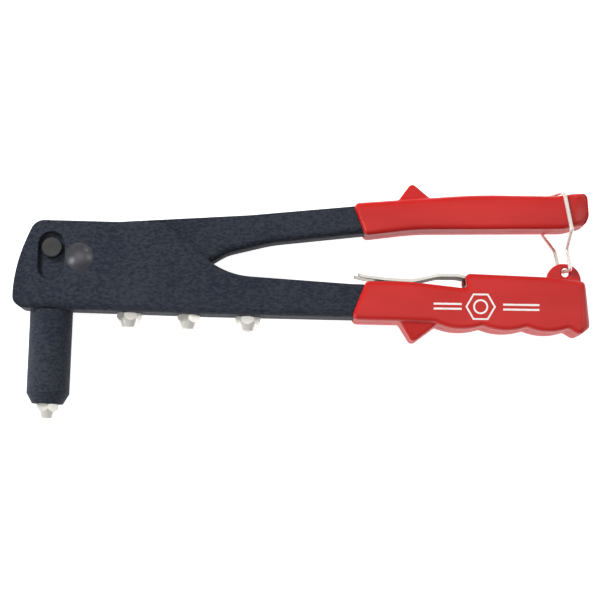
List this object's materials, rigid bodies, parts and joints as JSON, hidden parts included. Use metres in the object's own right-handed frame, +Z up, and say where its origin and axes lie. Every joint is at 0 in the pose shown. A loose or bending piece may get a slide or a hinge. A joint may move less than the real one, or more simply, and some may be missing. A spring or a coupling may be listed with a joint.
{
  "type": "hand riveter",
  "caption": "Two-handled hand tool that sets blind rivets: pressed-steel handles, screw-in nosepieces, vinyl grips, a wire latch and a stored nosepiece wrench.",
  "frame": {"origin": "under the middle of the whole tool, on the surface that it lies on, with the handles latched shut", "axes": "+X along the tool from the head towards the handle ends, +Y from the nose towards the moving handle, +Z up out of the surface, across the tool's thickness"},
  "size_m": [0.2626, 0.1124, 0.0275],
  "materials": {
    "powder_coat": "wrinkle powder coat",
    "black_steel": "blackened, satin",
    "nickel": "bright nickel plate",
    "plain_steel": "turned, oiled",
    "tool_steel": "hardened",
    "spring_steel": "bright",
    "red_vinyl": "glossy soft vinyl",
    "spring_wire": "bright zinc or nickel plate",
    "plated_strip": "nickel plate"
  },
  "bodies": {
    "fixed_handle": {"frame": "powder_coat", "nose_barrel": "powder_coat", "fitted_nosepiece": "nickel", "spare_nosepiece_1": "nickel", "spare_nosepiece_2": "nickel", "spare_nosepiece_3": "nickel", "pivot_rivet": "black_steel", "lower_grip": "red_vinyl"},
    "moving_handle": {"moving_handle": "powder_coat", "link_pin": "black_steel", "upper_grip": "red_vinyl"},
    "pull_rod": {"pull_head": "plain_steel", "locknut": "plain_steel", "jaw_case": "plain_steel", "jaw_spring": "spring_steel"},
    "jaw_pusher": {"jaw_pusher": "plain_steel"},
    "jaw_left": {"jaw_left": "tool_steel"},
    "jaw_right": {"jaw_right": "tool_steel"},
    "latch_bail": {"latch_bail": "spring_wire"},
    "nosepiece_wrench": {"nosepiece_wrench": "plated_strip"}
  },
  "joints": [
    {"name": "handle_hinge", "type": "hinge", "parent": "fixed_handle", "child": "moving_handle", "pos_m": [-0.10173, 0.01757, 0.01375], "axis": [0, 0, 1], "range_deg": [-3.5, 42]},
    {"name": "pull_slide", "type": "slide", "parent": "fixed_handle", "child": "pull_rod", "axis": [0, 1, 0], "range_m": [-0.0096, 0.0009]},
    {"name": "pusher_slide", "type": "slide", "parent": "pull_rod", "child": "jaw_pusher", "axis": [0, 1, 0], "range_m": [0, 0.0025], "stiffness_N_per_m": 800, "springref_m": -0.003, "deforming": ["jaw_spring"]},
    {"name": "jaw_left_slide", "type": "slide", "parent": "pull_rod", "child": "jaw_left", "axis": [-0.2588, 0.9659, 0], "range_m": [0, 0.0026]},
    {"name": "jaw_right_slide", "type": "slide", "parent": "pull_rod", "child": "jaw_right", "axis": [0.2588, 0.9659, 0], "range_m": [0, 0.0026]},
    {"name": "latch_hinge", "type": "hinge", "parent": "fixed_handle", "child": "latch_bail", "pos_m": [0.12107, 0.01947, 0.01375], "axis": [0, 0, -1], "range_deg": [0, 105], "deforming": ["latch_bail"]},
    {"name": "wrench_slide", "type": "slide", "parent": "fixed_handle", "child": "nosepiece_wrench", "axis": [-1, 0, 0], "range_m": [0, 0.036]}
  ],
  "couplings": [
    {"joint": "pull_slide", "follows": "handle_hinge", "m_per_rad": -0.01285},
    {"joint": "jaw_left_slide", "follows": "pusher_slide", "ratio": 1.0353},
    {"joint": "jaw_right_slide", "follows": "pusher_slide", "ratio": 1.0353}
  ]
}
